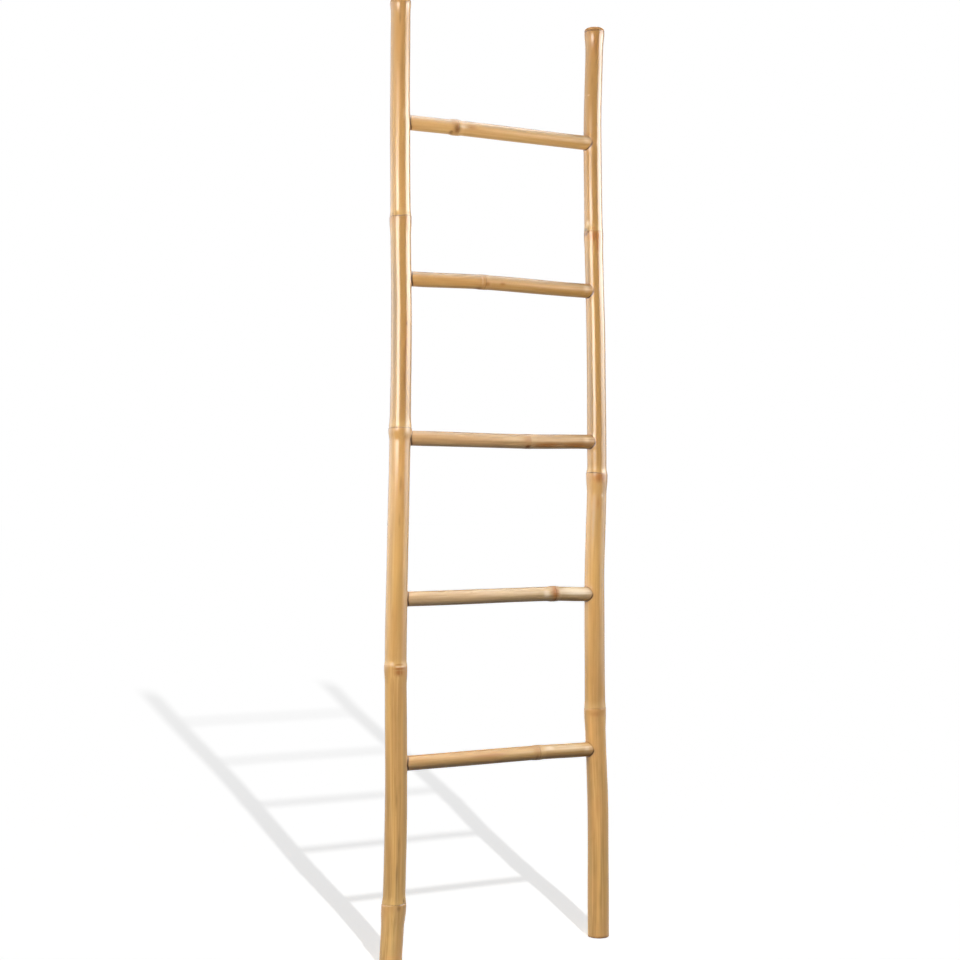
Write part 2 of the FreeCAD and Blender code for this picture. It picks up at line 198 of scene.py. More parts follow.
# Marks by kind, in millimetres and degrees: place along the culm, turn, half length, half width, strength.
# A turn on a rail is from +X towards +Y, and on a rung from the rear upwards.
MARK_KINDS = ("dull", "stain_and_shade", "pale", "blush", "olive", "spot", "light")
RAIL_MARKS = {
    "left": {
        # Painted shade: the dull marks darken and grey some sides of the culm.
        "dull": (
            (1240, -160, 60, 7, 0.4), (1000, -160, 140, 9, 0.85), (690, -128, 60, 14, 0.3),
            (330, -66, 300, 7, 0.45),
        ),
        "stain_and_shade": (
            (1466, -120, 12, 2.5, 0.5), (1385, -108, 80, 3.5, 0.4), (1164, -66, 3, 2, 0.7),
            (1162, -165, 3, 2, 0.7), (992, -86, 6, 2, 0.6), (905, -98, 16, 2.5, 0.45),
            (830, -68, 3, 2, 0.8), (741, -109, 18, 3, 0.45), (686, -110, 14, 2.5, 0.4),
            (256, -116, 18, 2, 0.45), (187, -99, 22, 2, 0.45), (141, -108, 20, 2, 0.5),
            # The last ring, all round the foot, is painted shade where the rail meets the floor.
            (100, -62, 4, 2.5, 0.9), (90, -94, 5, 3, 0.7), (0, -120, 3, 90, 1.0),
        ),
        "pale": ((1316, -85, 14, 5, 0.4), (826, -78, 9, 6, 0.8), (461, -96, 1.2, 8, 1.0)),
        "blush": (
            (950, -91, 80, 4, 0.5), (464.2, -96, 1.3, 8, 1.1), (457.6, -97, 1.7, 9, 1.2),
            (452, -97, 6, 9, 0.8),
        ),
        "olive": ((1090, -106, 60, 4, 0.6), (564, -98, 90, 7, 0.5)),
        # Painted light: a paler patch at the front of the foot.
        "light": ((40, -128, 90, 16, 0.45),),
    },
    "right": {
        # Painted shade: the dull marks darken and grey some sides of the culm.
        "dull": (
            (1080, -163, 60, 8, 0.8), (905, -160, 120, 9, 0.9), (690, -130, 70, 14, 0.45),
            (300, -178, 330, 7, 0.45),
        ),
        "stain_and_shade": (
            (1494, -120, 1.5, 90, 0.9), (1412, -131, 14, 3, 0.45), (1368, -124, 16, 2, 0.45),
            (1274, -113, 26, 3, 0.4), (988, -125, 6, 1.5, 0.4), (640, -128, 30, 1.5, 0.35),
            # The last ring, all round the foot, is painted shade where the rail meets the floor.
            (499, -128, 50, 2.5, 0.25), (68, -117, 20, 3, 0.25), (0, -120, 3, 90, 1.0),
        ),
        "pale": (
            (1387, -153, 1.2, 4, 0.8), (1174, -160, 6, 4, 0.7), (726, -91, 4, 3, 0.6),
            (380, -122, 5, 9, 0.2),
        ),
        "blush": (
            (1470, -120, 26, 12, 0.5), (1166, -119, 3, 4.5, 1.1), (1153, -112, 9, 13, 1.1),
            (1139, -100, 16, 6, 0.8), (1105, -98, 50, 4, 0.5), (756, -106, 9, 14, 0.9),
            (714, -116, 14, 3.5, 0.5), (368, -118, 6, 13, 0.5), (218, -126, 30, 4, 0.4),
        ),
        "olive": ((903, -104, 45, 3, 0.6),),
        "spot": ((1164, -177, 3, 4.5, 1.2), (1160, -158, 2, 2, 1.0), (1157.5, -177, 3.5, 4.5, 1.2)),
    },
}

# Every rung has a dull streak of painted shade along its top, of its own strength, and the same pale right
# end.
RUNG_STREAK = (0, 118, 400, 9)
RUNG_RIGHT_END = (159, 168, 8, 9, 0.42)
RUNG_MARKS = (
    {
        "dull": ((*RUNG_STREAK, 0.35),),
        "stain_and_shade": ((64, -150, 3, 6, 0.5), (66, 120, 2, 5, 0.3)),
        "pale": (RUNG_RIGHT_END, (125, 130, 50, 9, 0.5), (88, 140, 15, 5, 0.65)),
        "blush": ((-25, 165, 45, 4, 0.6),),
    },
    {
        "dull": ((*RUNG_STREAK, 0.25),),
        "stain_and_shade": ((99, -140, 4, 4, 0.5), (-57, 139, 2, 2, 0.5)),
        "pale": (
            RUNG_RIGHT_END, (140, 145, 36, 10, 0.85), (118, 165, 9, 5, 0.5), (82, 178, 7, 7, 0.7),
            # Painted sheen: a pale streak along the rung's top.
            (0, 130, 110, 7, 0.35),
        ),
        "blush": ((99, 172, 7, 14, 1.0),),
    },
    {
        "dull": ((*RUNG_STREAK, 0.6),),
        "stain_and_shade": ((48, -130, 5, 5, 0.9),),
        "pale": (RUNG_RIGHT_END, (20, 160, 30, 4, 0.4)),
        "blush": ((140, -148, 34, 5, 0.85), (85, -148, 34, 5, 0.85)),
    },
    {
        "dull": ((*RUNG_STREAK, 0.9),),
        "stain_and_shade": ((-42, -110, 8, 5, 0.7),),
        "pale": (RUNG_RIGHT_END, (-38, 170, 2, 9, 0.5)),
        "blush": ((-1, -169, 6, 3, 0.7), (-29, -160, 5, 4, 0.8)),
    },
    {
        "dull": ((*RUNG_STREAK, 0.85),),
        "stain_and_shade": ((-84, -162, 6, 7.5, 0.9), (-93, -122, 4, 4, 0.9)),
        "pale": (RUNG_RIGHT_END, (-71, 178, 10, 3.5, 0.8)),
        "blush": ((-60, 175, 14, 5, 0.5),),
    },
)

# Camera and floor
CAMERA_SENSOR = 36.0
CAMERA_LENS = 69.79
CAMERA_PLACE = (-1.5137, -2.5694, 0.7078)
CAMERA_TILT = 90.819
CAMERA_TURN = -29.896
FLOOR_HALF = 60.0
FLOOR_DROP = 0.2 * MM
FLOOR_PALE = 0.95
FLOOR_DIM = 0.02
AMBIENT = 0.015

# A stack of bulbs at the key's place lights only the floor. The other lamps light all but the floor.
KEY_PLACE = (-1.21, -3.92, 2.9)
FLOOR_KEY_STRENGTH = 0.45
FLOOR_KEY_RADIUS = 0.022
FLOOR_KEY_LIFTS = (-0.064, -0.048, -0.032, -0.016, 0.0, 0.016, 0.032, 0.048, 0.064)
KEY_STRENGTH = 0.3
KEY_RADIUS = 0.1
FRONT_PLACE = (-0.42, -0.5, 1.0)
FRONT_STRENGTH = 0.75
FRONT_RADIUS = 0.12
FILL_SIZE = (1.0, 1.4)
FILL_TARGET = (0.0, 0.0, 0.8)
FILLS = {
    "left_fill": {"place": (-2.5, 0.0, 0.75), "radiance": 6.2},
    "right_fill": {"place": (2.5, 0.0, 0.3), "radiance": 10.5},
    "rear_fill": {"place": (0.0, 2.6, 0.75), "radiance": 11.0},
}

# Glowing panels that only the lacquer reflects, with a brightness at each height.
REFLECTORS = {
    "left_strip": {
        "place": (-2.55, -1.38),
        "width": 1.74,
        "levels": ((0.5, 1.0), (0.8, 2.0), (0.98, 16.0), (1.65, 16.0), (1.9, 6.0), (2.1, 4.0)),
    },
    "left_wall": {
        "place": (-2.09, 1.18),
        "width": 3.8,
        "levels": ((0.2, 2.0), (0.7, 4.0), (1.1, 5.0), (1.6, 4.5), (2.0, 3.0), (2.6, 2.0)),
    },
    "right_wall": {
        "place": (2.035, -1.27),
        "width": 2.6,
        "levels": ((0.2, 2.5), (0.6, 4.0), (1.0, 8.0), (1.4, 15.0), (1.9, 15.0), (2.1, 7.0), (2.5, 4.0)),
    },
}

# The ceiling is one too, with a brightness at each place to the rear.
CEILING_ENDS = (-1.5, 2.7)
CEILING_HEIGHT = 3.0
CEILING_LEVELS = ((-2.2, 8.0), (-1.2, 10.0), (-0.3, 8.0), (0.2, 14.0), (0.75, 20.0))


# Curves and meshes

def smooth_curve(places, values, at):
    """A smooth curve through the values that doesn't overshoot them."""
    places, values = np.array(places, float), np.array(values, float)
    slopes = np.diff(values) / np.diff(places)
    before, after = slopes[:-1], slopes[1:]
    going_on = before * after > 0
    total = np.where(going_on, before + after, 1.0)
    tangents = np.concatenate(([0.0], np.where(going_on, 2 * before * after / total, 0.0), [0.0]))
    run = np.clip(np.searchsorted(places, at) - 1, 0, len(slopes) - 1)
    width = places[run + 1] - places[run]
    share = np.clip((at - places[run]) / width, 0.0, 1.0)
    left = 1 - share
    start = values[run] * (1 + 2 * share) * left ** 2 + tangents[run] * width * share * left ** 2
    end = values[run + 1] * share ** 2 * (3 - 2 * share)
    end = end + tangents[run + 1] * width * share ** 2 * (share - 1)
    return start + end


def smooth_step(low, high, value):
    """From zero at low to one at high, smoothly, whichever of the two is larger."""
    share = np.clip((value - low) / (high - low), 0.0, 1.0)
    return share * share * (3 - 2 * share)


def spread(start, stop, coarse, dense):
    """Places from start to stop, coarse apart, and closer in dense spans of middle, reach and spacing."""
    places = [np.arange(start, stop, coarse)]
    places += [np.arange(middle - reach, middle + reach, gap) for middle, reach, gap in dense]
    merged = np.unique(np.concatenate(places))
    merged = merged[(merged >= start) & (merged < stop)]
    closest = min([coarse] + [gap for _, _, gap in dense]) / 2
    kept = [merged[0]]
    for place in merged[1:]:
        if place - kept[-1] > closest:
            kept.append(place)
    return np.array(kept + [stop])


def even_angles(segments):
    return np.linspace(0, 2 * math.pi, segments, endpoint=False)


def degrees_from(turn, angle):
    """How many degrees an angle is from a turn, the short way round."""
    return (np.degrees(angle) - turn + 180) % 360 - 180


def make_mesh(name, points, faces):
    mesh = bpy.data.meshes.new(name)
    mesh.from_pydata(points.tolist(), [], faces)
    mesh.update()
    piece = bpy.data.objects.new(name, mesh)
    bpy.context.scene.collection.objects.link(piece)
    return piece


def tube(rings):
    """Points and faces of a closed tube through rings, with a point in the middle of each end."""
    count, segments = len(rings), len(rings[0])
    points = np.concatenate([*rings, [rings[0].mean(axis=0)], [rings[-1].mean(axis=0)]])
    faces = []
    for ring in range(count - 1):
        base = ring * segments
        higher = base + segments
        for step in range(segments):
            following = (step + 1) % segments
            faces.append((base + step, base + following, higher + following, higher + step))
    first, last, top = count * segments, count * segments + 1, (count - 1) * segments
    for step in range(segments):
        following = (step + 1) % segments
        faces.append((first, following, step))
        faces.append((last, top + step, top + following))
    return points, faces


def cylinder(start, along, radius, segments):
    """A plain cutter from start along a direction given with its length."""
    along = np.array(along, float)
    aslant = (0.3, 0.5, 0.8)
    side = np.cross(along, aslant)
    side /= np.linalg.norm(side)
    other = np.cross(along / np.linalg.norm(along), side)
    turns = even_angles(segments)[:, None]
    ring = np.array(start) + radius * (np.cos(turns) * side + np.sin(turns) * other)
    return tube([ring, ring + along])


def cut(piece, solids):
    """Takes the solids out of the piece."""
    points, faces, count = [], [], 0
    for some_points, some_faces in solids:
        faces += [tuple(index + count for index in face) for face in some_faces]
        points.append(some_points)
        count += len(some_points)
    cutter = make_mesh("cutter", np.concatenate(points), faces)
    change = piece.modifiers.new("cut", "BOOLEAN")
    change.operation = "DIFFERENCE"
    change.solver = "EXACT"
    change.object = cutter
    bpy.context.view_layer.update()
    changed = bpy.data.meshes.new_from_object(piece.evaluated_get(bpy.context.evaluated_depsgraph_get()))
    piece.modifiers.clear()
    piece.data = changed
    bpy.data.objects.remove(cutter)


def points_of(mesh):
    flat = np.zeros(len(mesh.vertices) * 3)
    mesh.vertices.foreach_get("co", flat)
    return flat.reshape(-1, 3)


def marks_at(marks, along, angle, radius):
    """How strongly each kind of mark shows at points along a culm."""
    shown = {kind: np.zeros(along.shape) for kind in MARK_KINDS}
    for kind, rows in marks.items():
        for place, turn, half_length, half_width, strength in rows:
            around = np.radians(degrees_from(turn, angle)) * radius / MM
            far = ((along / MM - place) / half_length) ** 2 + (around / half_width) ** 2
            shown[kind] = np.maximum(shown[kind], strength * np.exp(-far))
    return shown


def keep_values(mesh, **values):
    """Stores a number or a vector with every point, for the materials."""
    for name, numbers in values.items():
        vector = numbers.ndim == 2
        layer = mesh.attributes.new(name, "FLOAT_VECTOR" if vector else "FLOAT", "POINT")
        layer.data.foreach_set("vector" if vector else "value", numbers.astype(np.float32).ravel())


def face_means(mesh, values):
    """The mean of a number over the points of each face."""
    starts = np.zeros(len(mesh.polygons), np.int32)
    mesh.polygons.foreach_get("loop_start", starts)
    totals = np.zeros(len(mesh.polygons), np.int32)
    mesh.polygons.foreach_get("loop_total", totals)
    corners = np.zeros(len(mesh.loops), np.int32)
    mesh.loops.foreach_get("vertex_index", corners)
    return np.add.reduceat(values[corners], starts) / totals


def finish_piece(piece, node, materials):
    piece.data.materials.clear()
    for material in materials:
        piece.data.materials.append(material)
    piece.data.shade_smooth()
    piece.data.set_sharp_from_angle(angle=SHARP_EDGE)
    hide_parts(node)
    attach(piece, "root")


# Rails

def rail_nodes(rail):
    return [share * LADDER_LENGTH for share in RAILS[rail]["node_shares"]]


def rail_axis(rail, height):
    """Where the culm's axis stands across the ladder at a height."""
    facts = RAILS[rail]
    stops = [0.0, *rail_nodes(rail), TOP_NODE]
    bends = np.array(facts["bends"])
    places, values = [], []
    for run, bow in enumerate(facts["bows"]):
        places += [stops[run], (stops[run] + stops[run + 1]) / 2]
        values += [bends[run], (bends[run] + bends[run + 1]) / 2 + bow]
    places.append(stops[-1])
    values.append(bends[-1])
    return facts["side"] * (RAIL_SPACING / 2 + smooth_curve(places, values, height) * MM)


def axis_at(rail, height):
    """The culm's axis at one height, as a plain number."""
    return float(rail_axis(rail, np.array(height)))


def node_gap(rail, height, angle):
    """How far above the nearest scar a point is."""
    gaps = []
    for count, node in enumerate(rail_nodes(rail)):
        askew = SCAR_ASKEW * np.cos(angle - 2.1 * count) + SCAR_WAVER * np.sin(5 * angle + count)
        gaps.append(height - node - askew)
    gaps.append(height - TOP_NODE)
    gaps = np.array(gaps)
    nearest = np.abs(gaps).argmin(axis=0)
    return np.take_along_axis(gaps, nearest[None], axis=0)[0]


def scar_strength(rail, height, angle):
    """How clearly the nearest scar shows at an angle."""
    nodes = np.array([*rail_nodes(rail), TOP_NODE])
    nearest = np.abs(height[:, None] - nodes).argmin(axis=1)
    turn, spread_out, least, most = np.array(RAILS[rail]["scars"])[nearest].T
    return least + (most - least) * np.exp(-(degrees_from(turn, angle) / spread_out) ** 2)


def by_internode(rail, fact, height):
    """The internode's own number of a fact, such as how warm or dark its skin is."""
    return np.array(RAILS[rail][fact])[np.searchsorted(rail_nodes(rail), height)]


def plain_radius(rail, height):
    """The culm's tapered radius without its nodes."""
    foot, top = RAILS[rail]["radii"]
    return foot + (top - foot) * height / LADDER_LENGTH


def rail_radius(rail, height, angle):
    """The culm's outside at a height and an angle from +X towards +Y, without its rounded ends."""
    facts = RAILS[rail]
    gap = node_gap(rail, height, angle)
    nearest = np.abs(np.subtract.outer(height, rail_nodes(rail))).argmin(axis=-1)
    amount, below, above = np.moveaxis(np.array(facts["node_forms"])[nearest], -1, 0)
    share = gap / RAIL_NODE_REACH / np.where(gap < 0, below, above)
    swell = RAIL_NODE_SWELL * amount * smooth_curve(NODE_PLACE_SHARES, NODE_SWELL_SHARES, share)
    from_top = height - TOP_NODE
    top_amount, top_reach = facts["top_form"]
    top_share = from_top / TOP_FLARE_REACH / top_reach
    top_swell = TOP_NODE_SWELL * top_amount * smooth_curve(TOP_PLACE_SHARES, TOP_SWELL_SHARES, top_share)
    at_top = from_top > -TOP_FLARE_REACH
    oval = OVAL_SHARE * np.cos(2 * angle + facts["oval_turn"] + 1.3 * height)
    uneven = UNEVEN_ROUND * np.sin(3 * angle + 9 * height)
    uneven = uneven + UNEVEN_ALONG * np.sin(41 * height + 2 * angle)
    return plain_radius(rail, height) * (1 + oval) + np.where(at_top, top_swell, swell) + uneven


def mouth_gap(rail, across, rear, height):
    """How far outside the rim of the nearest socket a point is, or far off on the rail's outer half."""
    gaps = [np.hypot(rear, height - rung_height) for rung_height in RUNG_HEIGHTS]
    gap = np.min(gaps, axis=0) - RUNG_RADIUS - SOCKET_CLEARANCE
    inner = (across - rail_axis(rail, height)) * RAILS[rail]["side"] < 0
    return np.where(inner, gap, FAR_OFF)


def under_rung(above):
    """How far a height above a rung's axis counts as its underside, where a joint's painted shade is
    darkest.
    """
    within = np.abs(above) < 3 * RUNG_RADIUS
    return np.where(within, smooth_step(0.5 * RUNG_RADIUS, -0.5 * RUNG_RADIUS, above), 0.0)


def rail_ring(rail, height, radius, angles):
    return np.stack([
        rail_axis(rail, height) + radius * np.cos(angles),
        radius * np.sin(angles),
        np.broadcast_to(height, angles.shape),
    ], axis=1)


def round_off(gap, radius):
    """How far a rounded edge draws in at a gap from the end."""
    return radius - math.sqrt(max(radius ** 2 - max(radius - gap, 0.0) ** 2, 0.0))


def rail_outside(rail, angles):
    """The skin from the foot to the top, with a collar round each socket."""
    dense = [(node, *span) for node in rail_nodes(rail) for span in NODE_SPANS]
    dense += [(height, *SOCKET_SPAN) for height in RUNG_HEIGHTS]
    dense += [(0.0, *FOOT_SPAN), (LADDER_LENGTH, *TOP_SPAN)]
    rings = []
    for height in spread(0.0, LADDER_LENGTH, RAIL_RING_GAP, dense):
        inset = round_off(height, FOOT_ROUND) + round_off(LADDER_LENGTH - height, TOP_ROUND)
        heights = np.full(angles.shape, height)
        radius = rail_radius(rail, heights, angles) - inset
        ring = rail_ring(rail, heights, radius, angles)
        gap = mouth_gap(rail, ring[:, 0], ring[:, 1], heights)
        collar = COLLAR_RISE * smooth_step(COLLAR_START, COLLAR_FULL, gap)
        rings.append(rail_ring(rail, heights, radius + collar, angles))
    return rings


def rail_inside(rail, angles):
    """The open hollow of the lowest internode, from its upper end down to the foot."""
    ceiling = rail_nodes(rail)[0] - DIAPHRAGM / 2
    rings = []
    for height in (*np.arange(ceiling, HOLLOW_LOWEST, -HOLLOW_RING_GAP), *HOLLOW_LAST_HEIGHTS):
        heights = np.full(angles.shape, height)
        flare = HOLLOW_FLARE * max(0.0, 1 - height / MM)
        radius = plain_radius(rail, height) - RAIL_WALL + flare
        rings.append(rail_ring(rail, heights, radius + HOLLOW_UNEVEN * np.sin(4 * angles), angles))
    return rings


def rail_top(edge):
    """The sawn top: a flat rim with the dished wall of the topmost node inside it."""
    middle = edge.mean(axis=0)
    rings = []
    for share, drop in TOP_RINGS:
        ring = middle + (edge - middle) * share
        ring[:, 2] -= drop
        rings.append(ring)
    return rings


def rail_holes(rail):
    """Cutters for the rungs' sockets and for the pins' holes behind them."""
    side = RAILS[rail]["side"]
    holes = []
    for height in RUNG_HEIGHTS:
        axis = axis_at(rail, height)
        seat = (axis + side * SEAT_PAST_AXIS, 0.0, height)
        inwards = (-side * SOCKET_CUT, 0.0, 0.0)
        holes.append(cylinder(seat, inwards, RUNG_RADIUS + SOCKET_CLEARANCE, SOCKET_SEGMENTS))
        bottom = (axis, RUNG_RADIUS + 2 * SOCKET_CLEARANCE, height)
        holes.append(cylinder(bottom, (0.0, PIN_CUT, 0.0), PIN_RADIUS + PIN_CLEARANCE, PIN_SEGMENTS))
    return holes


def make_rail(rail, skin, cut_wood):
    angles = even_angles(RAIL_SEGMENTS)
    outside = rail_outside(rail, angles)
    rings = rail_inside(rail, angles) + outside + rail_top(outside[-1])
    piece = make_mesh(f"{rail}_rail_culm", *tube(rings))
    cut(piece, rail_holes(rail))
    points = points_of(piece.data)
    height = points[:, 2]
    away = points[:, 0] - rail_axis(rail, height)
    angle = np.arctan2(points[:, 1], away)
    depth = rail_radius(rail, height, angle) - np.hypot(away, points[:, 1])
    keep_values(
        piece.data,
        place=np.stack([away, points[:, 1], height], axis=1),
        gap=node_gap(rail, height, angle),
        scar=scar_strength(rail, height, angle),
        warmth=by_internode(rail, "warmth", height),
        shade=by_internode(rail, "shades", height),
        mouth=mouth_gap(rail, points[:, 0], points[:, 1], height),
        under=under_rung(height[:, None] - np.array(RUNG_HEIGHTS)).max(axis=1),
        **marks_at(RAIL_MARKS[rail], height, angle, RAILS[rail]["radii"][0]),
    )
    finish_piece(piece, f"{rail}_rail", (skin, cut_wood))
    bare = face_means(piece.data, depth) > SKIN_DEPTH
    bare |= face_means(piece.data, height) > LADDER_LENGTH - TOP_BARE
    piece.data.polygons.foreach_set("material_index", bare.astype(np.int32))


# Rungs

def rung_ring(rung, across, lift, angles):
    """The ring of points round a rung at a place across the ladder."""
    askew = RUNG_ASKEW * np.cos(angles - rung) + RUNG_WAVER * np.sin(4 * angles + rung)
    share = (across - RUNG_NODE_PLACES[rung] * MM - askew) / RUNG_NODE_REACH
    swell = RUNG_NODE_SWELLS[rung] * MM * smooth_curve(RUNG_PLACE_SHARES, RUNG_SWELL_SHARES, share)
    fade = 1 - smooth_step(RUNG_EVEN_FROM, RUNG_EVEN_TO, abs(across))
    radius = RUNG_RADIUS + swell + RUNG_UNEVEN * np.sin(2 * angles + 30 * across + rung) * fade
    return np.stack([
        np.full(angles.shape, across),
        radius * np.cos(angles),
        RUNG_HEIGHTS[rung] + lift + radius * np.sin(angles),
    ], axis=1)


def outside_rails(height, across, rear):
    """How far outside the seams at the rails a point of the rung is, the left seam reaching on as painted
    shadow.
    """
    gap = np.full(across.shape, FAR_OFF)
    for rail, facts in RAILS.items():
        radius = rail_radius(rail, np.array(height), np.array(math.pi / 2))
        reach = np.sqrt(np.maximum(radius ** 2 - rear ** 2, 0))
        inwards = (axis_at(rail, height) - across) * facts["side"]
        gap = np.minimum(gap, inwards - reach - SEAM_AND_SHADOW_REACHES[rail])
    return gap


def make_rung(rung, skin):
    height = RUNG_HEIGHTS[rung]
    node = RUNG_NODE_PLACES[rung] * MM
    start, end = [axis_at(rail, height) + RAILS[rail]["side"] * SEAT_PAST_AXIS for rail in RAILS]
    stops = (start, start + RUNG_STRAIGHT_END, node, end - RUNG_STRAIGHT_END, end)
    lifts = (0, 0, RUNG_RISES[rung] * MM, 0, 0)
    angles = even_angles(RUNG_SEGMENTS)
    rings = []
    for across in spread(start, end, RUNG_RING_GAP, [(node, *span) for span in RUNG_NODE_SPANS]):
        rings.append(rung_ring(rung, across, smooth_curve(stops, lifts, np.array(across)), angles))
    piece = make_mesh(f"rung_{rung + 1}_culm", *tube(rings))
    points = points_of(piece.data)
    across = points[:, 0]
    above = points[:, 2] - height - smooth_curve(stops, lifts, across)
    angle = np.arctan2(above, points[:, 1])
    keep_values(
        piece.data,
        place=np.stack([points[:, 1], above, across], axis=1),
        gap=across - node - RUNG_ASKEW * np.cos(angle - rung),
        scar=np.full(across.shape, RUNG_SCARS[rung]),
        warmth=np.full(across.shape, RUNG_WARMTH),
        shade=np.zeros(across.shape),
        mouth=outside_rails(height, across, points[:, 1]),
        # The seam's painted shade is as dark all round the rung's left half as under it.
        under=np.where(across < 0, 1.0, under_rung(above)),
        **marks_at(RUNG_MARKS[rung], across, angle, RUNG_RADIUS),
    )
    finish_piece(piece, f"rung_{rung + 1}", (skin,))


# Materials

def linear(part):
    """The amount of light of a screen value from 0 to 255."""
    part = part / 255
    return part / 12.92 if part <= 0.04045 else ((part + 0.055) / 1.055) ** 2.4


def colour(red, green, blue):
    """A colour written in screen values from 0 to 255."""
    return linear(red), linear(green), linear(blue), 1.0


RAIL_TONES = {
    "base": colour(219, 172, 95),
    "light": colour(236, 197, 124),
    "dark": colour(172, 127, 65),
    "warm": colour(224, 168, 98),
    "brown": colour(150, 100, 55),
    "blush": colour(168, 107, 46),
    "stain_and_shade": colour(126, 80, 38),
    "pale": colour(238, 208, 164),
    "olive": colour(180, 138, 72),
    # The dull tone is painted shade, for the dull marks.
    "dull": colour(150, 116, 68),
    "scar": colour(76, 48, 26),
    "spot": colour(70, 43, 20),
    "raw": colour(190, 140, 86),
}

# Where a rung's tones differ from the rails', from the lowest rung up. The two lowest rungs have a greyer
# pale, which also paints the sheen along the second rung's top.
RUNG_TONES = (
    {
        "base": colour(207, 169, 108),
        "light": colour(223, 195, 144),
        "dark": colour(184, 141, 82),
        "warm": colour(205, 150, 96),
        "pale": colour(236, 214, 178),
    },
    {
        "base": colour(206, 175, 129),
        "light": colour(223, 200, 160),
        "dark": colour(178, 144, 95),
        "warm": colour(201, 162, 120),
        "pale": colour(236, 216, 184),
    },
    {
        "base": colour(204, 166, 112),
        "light": colour(219, 189, 138),
        "dark": colour(174, 132, 81),
        "warm": colour(198, 150, 101),
    },
    {
        "base": colour(203, 156, 87),
        "light": colour(213, 178, 117),
        "dark": colour(186, 138, 71),
        "warm": colour(204, 150, 88),
    },
    {
        "base": colour(219, 173, 104),
        "light": colour(228, 192, 133),
        "dark": colour(200, 152, 83),
        "warm": colour(220, 167, 110),
    },
)
PIN_DARK = colour(120, 80, 44)
PIN_LIGHT = colour(190, 146, 92)


class Shader:
    """The nodes of a material, a lamp or the world, with short ways to add to them."""

    def __init__(self, tree):
        self.nodes = tree.nodes
        self.links = tree.links

    def put(self, socket, value):
        if isinstance(value, bpy.types.NodeSocket):
            self.links.new(value, socket)
        else:
            socket.default_value = value

    def add(self, kind, *values):
        """A new node with values put into its inputs in their order."""
        node = self.nodes.new(kind)
        for socket, value in zip(node.inputs, values):
            self.put(socket, value)
        return node

    def attribute(self, name, output="Fac"):
        node = self.nodes.new("ShaderNodeAttribute")
        node.attribute_name = name
        return node.outputs[output]

    def maths(self, operation, first, second):
        node = self.add("ShaderNodeMath", first, second)
        node.operation = operation
        return node.outputs[0]

    def times(self, first, second):
        return self.maths("MULTIPLY", first, second)

    def noise(self, place, scale, detail=3.0, roughness=0.5, waver=0.0):
        """Noise with its own scale along each direction of the place."""
        mapping = self.nodes.new("ShaderNodeMapping")
        mapping.inputs["Scale"].default_value = scale
        self.put(mapping.inputs["Vector"], place)
        node = self.nodes.new("ShaderNodeTexNoise")
        node.inputs["Scale"].default_value = 1.0
        node.inputs["Detail"].default_value = detail
        node.inputs["Roughness"].default_value = roughness
        node.inputs["Distortion"].default_value = waver
        self.links.new(mapping.outputs[0], node.inputs["Vector"])
        return node.outputs["Fac"]

    def span(self, value, low, high, start=0.0, end=1.0):
        """The value from low to high turned smoothly into start to end."""
        node = self.add("ShaderNodeMapRange", value, low, high, start, end)
        node.interpolation_type = "SMOOTHSTEP"
        return node.outputs[0]

    def mix(self, share, first, second):
        """Two colours mixed. The node's sockets for colours come after those for numbers and vectors."""
        node = self.nodes.new("ShaderNodeMix")
        node.data_type = "RGBA"
        first_colour, second_colour = node.inputs[6], node.inputs[7]
        self.put(node.inputs[0], share)
        self.put(first_colour, first)
        self.put(second_colour, second)
        return node.outputs[2]

    def bump(self, height, strength, distance):
        node = self.nodes.new("ShaderNodeBump")
        node.inputs["Strength"].default_value = strength
        node.inputs["Distance"].default_value = distance
        self.put(node.inputs["Height"], height)
        return node.outputs[0]

    def seen_directly(self):
        """One for rays from the camera, a mirror or glass, and zero for other light."""
        path = self.nodes.new("ShaderNodeLightPath")
        mirrored = self.maths("MAXIMUM", path.outputs["Is Camera Ray"], path.outputs["Is Glossy Ray"])
        return self.maths("MAXIMUM", mirrored, path.outputs["Is Transmission Ray"])


def new_material(name):
    material = bpy.data.materials.new(name)
    material.use_nodes = True
    return material, Shader(material.node_tree)


